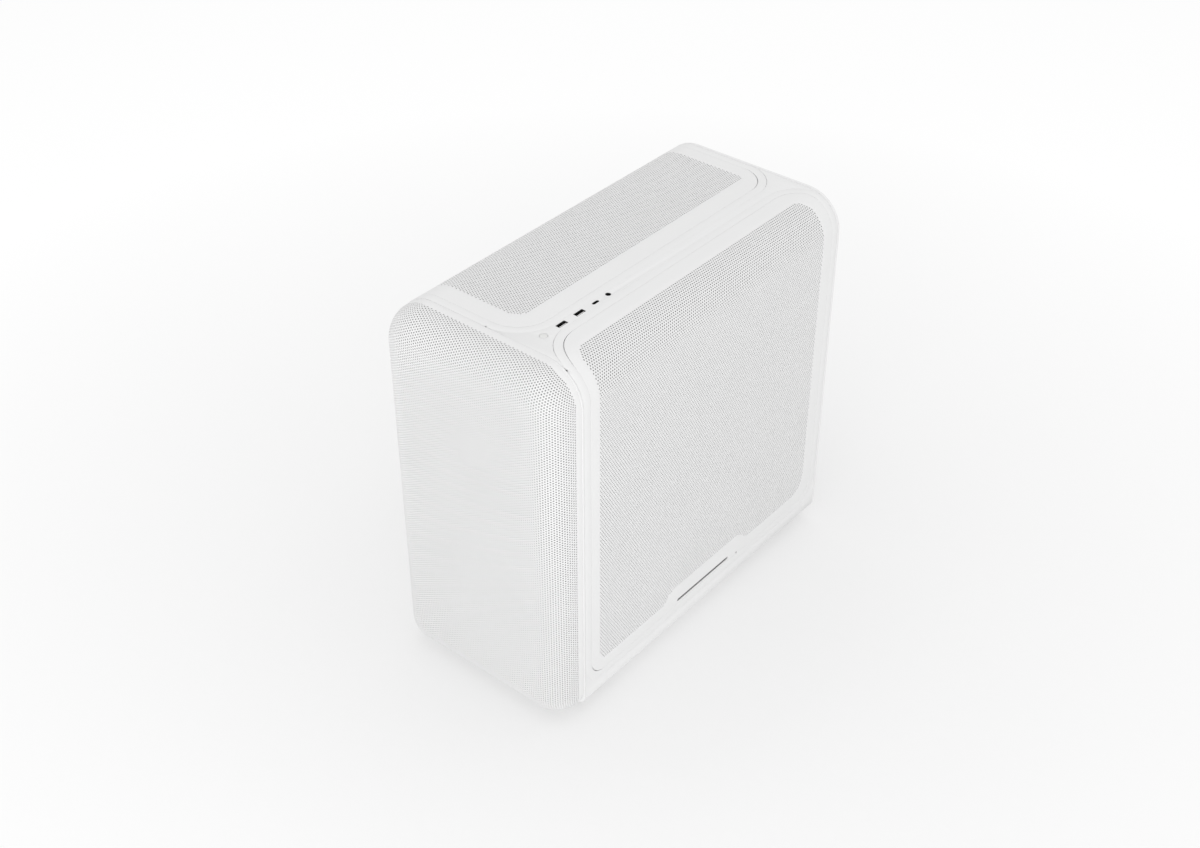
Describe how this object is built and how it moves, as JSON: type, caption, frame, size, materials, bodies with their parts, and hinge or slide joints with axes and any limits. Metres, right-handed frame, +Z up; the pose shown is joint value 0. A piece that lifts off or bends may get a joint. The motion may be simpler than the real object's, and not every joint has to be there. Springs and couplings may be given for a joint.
{
  "type": "desktop computer tower",
  "caption": "White desktop computer tower with rounded perforated covers that wrap over its top edges, ports in a strip on top, and its boards, fans, drives and power supply inside.",
  "frame": {"origin": "on the ground under the middle of the tower", "axes": "+Z up, -Y is the front, +X is on the right seen from the front; the depth lies along Y"},
  "size_m": [0.2468, 0.4924, 0.465],
  "materials": {
    "white_paint": "fine matt powder coat",
    "inner_steel": "satin powder coat",
    "white_plastic": "fine moulded grain",
    "dark_plastic": "moulded, slightly grained",
    "rubber": "matt",
    "circuit_board": "solder mask",
    "plated_steel": "nickel plated",
    "aluminium_fins": "rolled",
    "filter_cloth": "woven nylon net"
  },
  "bodies": {
    "chassis": {"right_rim": "white_paint", "left_rim": "white_paint", "top_spine": "white_paint", "bottom_tub": "white_paint", "rear_frame": "white_paint", "front_frame": "white_paint", "supply_shroud": "white_paint", "rear_wall": "inner_steel", "motherboard_tray": "inner_steel", "slot_cover_1": "inner_steel", "slot_cover_4": "inner_steel", "slot_cover_5": "inner_steel", "slot_cover_6": "inner_steel", "slot_cover_7": "inner_steel", "power_supply_case": "inner_steel", "drive_cage": "inner_steel", "front_fan_1_frame": "dark_plastic", "front_fan_2_frame": "dark_plastic", "front_fan_3_frame": "dark_plastic", "rear_fan_frame": "dark_plastic", "cooler_fan_frame": "dark_plastic", "graphics_shroud": "dark_plastic", "mains_inlet": "dark_plastic", "memory_module_1": "dark_plastic", "memory_module_2": "dark_plastic", "audio_socket": "dark_plastic", "foot_front_left": "rubber", "foot_front_right": "rubber", "foot_rear_left": "rubber", "foot_rear_right": "rubber", "motherboard": "circuit_board", "front_port_board": "circuit_board", "graphics_board": "circuit_board", "usb_a_socket_1": "plated_steel", "usb_a_socket_2": "plated_steel", "usb_c_socket": "plated_steel", "rear_port_block": "plated_steel", "rear_port_shield": "plated_steel", "graphics_bracket": "plated_steel", "cooler_heatsink": "aluminium_fins"},
    "front_cover": {"front_cover_skin": "white_paint", "front_cover_frame": "white_plastic", "front_dust_filter": "filter_cloth"},
    "right_cover": {"right_side_cover": "white_paint"},
    "left_cover": {"left_and_top_cover": "white_paint"},
    "button": {"power_button": "white_plastic"},
    "rocker": {"rocker_switch": "dark_plastic"},
    "upper_tray": {"drive_tray_2": "dark_plastic"},
    "lower_tray": {"drive_tray_1": "dark_plastic", "hard_drive": "aluminium_fins"},
    "filter_drawer": {"lower_filter": "dark_plastic"},
    "front_fan_1_blades": {"front_fan_1_rotor": "dark_plastic"},
    "front_fan_2_blades": {"front_fan_2_rotor": "dark_plastic"},
    "front_fan_3_blades": {"front_fan_3_rotor": "dark_plastic"},
    "rear_fan_blades": {"rear_fan_rotor": "dark_plastic"},
    "cooler_fan_blades": {"cooler_fan_rotor": "dark_plastic"},
    "graphics_fan_1_blades": {"graphics_fan_1_rotor": "dark_plastic"},
    "graphics_fan_2_blades": {"graphics_fan_2_rotor": "dark_plastic"},
    "power_supply_fan_blades": {"power_supply_fan_rotor": "dark_plastic"}
  },
  "joints": [
    {"name": "front_cover_pull", "type": "slide", "parent": "chassis", "child": "front_cover", "axis": [0, -1, 0], "range_m": [0, 0.12]},
    {"name": "right_cover_pull", "type": "slide", "parent": "chassis", "child": "right_cover", "axis": [1, 0, 0], "range_m": [0, 0.15]},
    {"name": "left_cover_pull", "type": "slide", "parent": "chassis", "child": "left_cover", "axis": [-1, 0, 0], "range_m": [0, 0.2]},
    {"name": "power_button_press", "type": "slide", "parent": "chassis", "child": "button", "axis": [0, 0, -1], "range_m": [0, 0.0015], "stiffness_N_per_m": 400, "springref_m": -0.0005},
    {"name": "rocker_tip", "type": "hinge", "parent": "chassis", "child": "rocker", "pos_m": [0.01, 0.2317, 0.074], "axis": [1, 0, 0], "range_deg": [0, 16]},
    {"name": "upper_tray_slide", "type": "slide", "parent": "chassis", "child": "upper_tray", "axis": [-1, 0, 0], "range_m": [0, 0.075]},
    {"name": "lower_tray_slide", "type": "slide", "parent": "chassis", "child": "lower_tray", "axis": [-1, 0, 0], "range_m": [0, 0.075]},
    {"name": "filter_drawer_slide", "type": "slide", "parent": "chassis", "child": "filter_drawer", "axis": [0, 1, 0], "range_m": [0, 0.16]},
    {"name": "front_fan_1_spin", "type": "hinge", "parent": "chassis", "child": "front_fan_1_blades", "pos_m": [0, -0.1879, 0.12], "axis": [0, 1, 0], "continuous": true},
    {"name": "front_fan_2_spin", "type": "hinge", "parent": "chassis", "child": "front_fan_2_blades", "pos_m": [0, -0.1879, 0.241], "axis": [0, 1, 0], "continuous": true},
    {"name": "front_fan_3_spin", "type": "hinge", "parent": "chassis", "child": "front_fan_3_blades", "pos_m": [0, -0.1879, 0.362], "axis": [0, 1, 0], "continuous": true},
    {"name": "rear_fan_spin", "type": "hinge", "parent": "chassis", "child": "rear_fan_blades", "pos_m": [-0.028, 0.2242, 0.368], "axis": [0, 1, 0], "continuous": true},
    {"name": "cooler_fan_spin", "type": "hinge", "parent": "chassis", "child": "cooler_fan_blades", "pos_m": [-0.024, 0.083, 0.368], "axis": [0, 1, 0], "continuous": true},
    {"name": "graphics_fan_1_spin", "type": "hinge", "parent": "chassis", "child": "graphics_fan_1_blades", "pos_m": [0.014, 0.01, 0.219], "axis": [0, 0, 1], "continuous": true},
    {"name": "graphics_fan_2_spin", "type": "hinge", "parent": "chassis", "child": "graphics_fan_2_blades", "pos_m": [0.014, 0.118, 0.219], "axis": [0, 0, 1], "continuous": true},
    {"name": "power_supply_fan_spin", "type": "hinge", "parent": "chassis", "child": "power_supply_fan_blades", "pos_m": [0, 0.152, 0.03], "axis": [0, 0, 1], "continuous": true}
  ]
}
